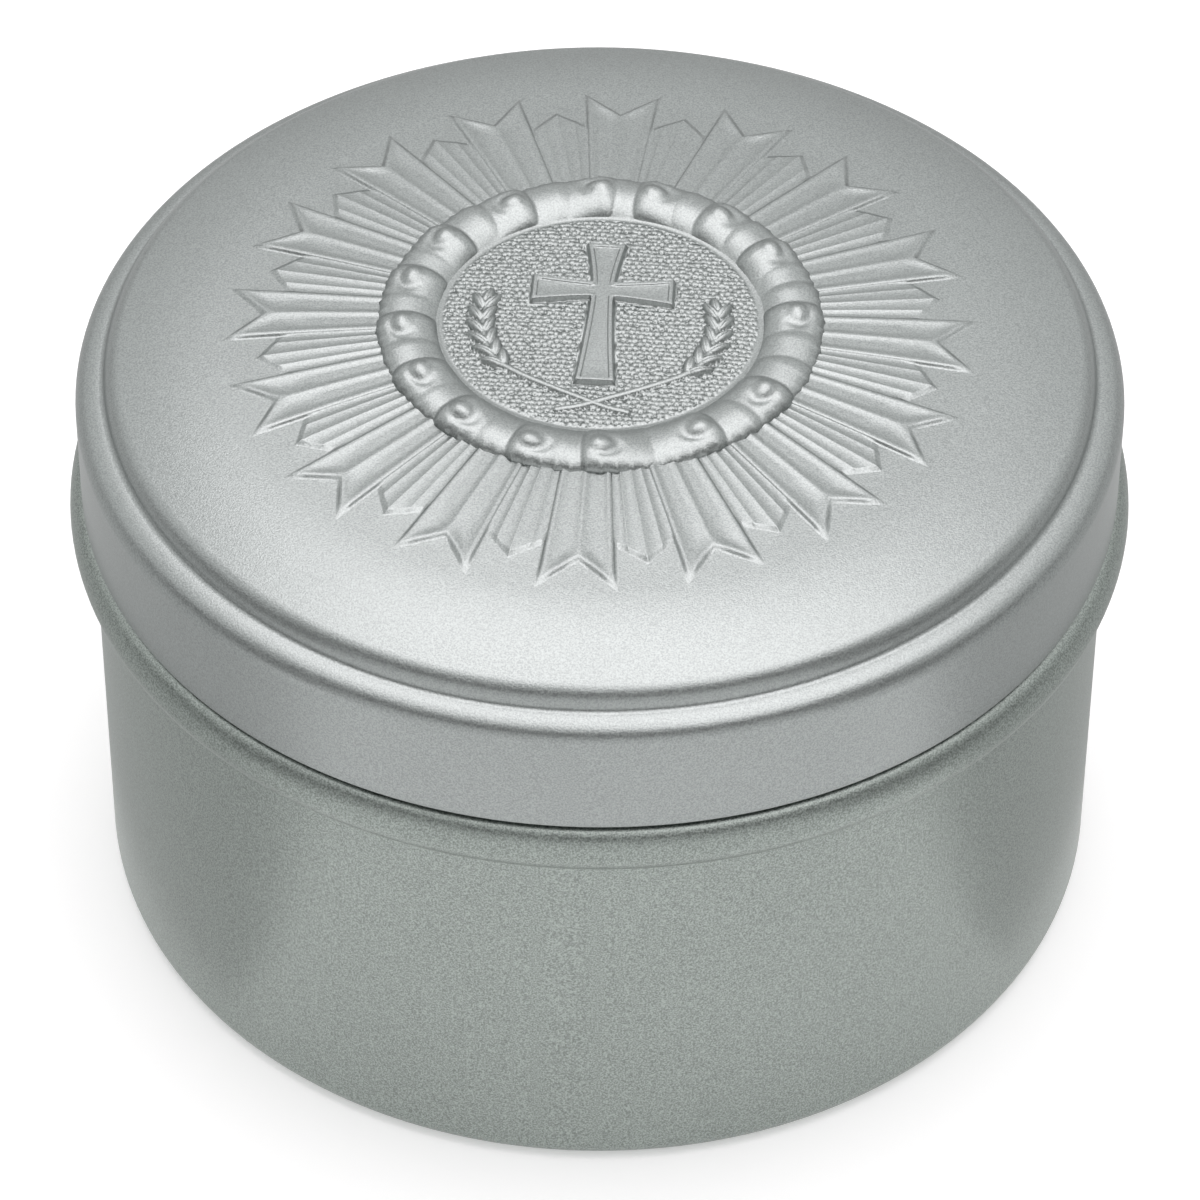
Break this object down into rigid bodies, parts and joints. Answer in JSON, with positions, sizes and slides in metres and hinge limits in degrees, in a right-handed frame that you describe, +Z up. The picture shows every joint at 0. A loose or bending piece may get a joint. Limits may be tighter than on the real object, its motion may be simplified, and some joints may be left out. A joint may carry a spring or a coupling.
{
  "type": "host box",
  "caption": "Round metal host box: deep-drawn cup with a stop bead, and a lift-off lid with a sunburst, a lobed wreath and a cross between wheat ears in relief.",
  "frame": {"origin": "centre of the flat base, on the surface that the box stands on", "axes": "+Z up along the box's axis, +Y towards the top of the lid's cross, +X to the cross's right"},
  "size_m": [0.1434, 0.1434, 0.0917],
  "materials": {
    "body_metal": "fine satin, blasted",
    "lid_metal": "fine satin, blasted, brighter on the high spots of the relief"
  },
  "bodies": {
    "box": {"box_body": "body_metal"},
    "lid": {"lid": "lid_metal"}
  },
  "joints": [
    {"name": "lid_lift", "type": "slide", "parent": "box", "child": "lid", "axis": [0, 0, 1], "range_m": [0, 0.12]}
  ]
}
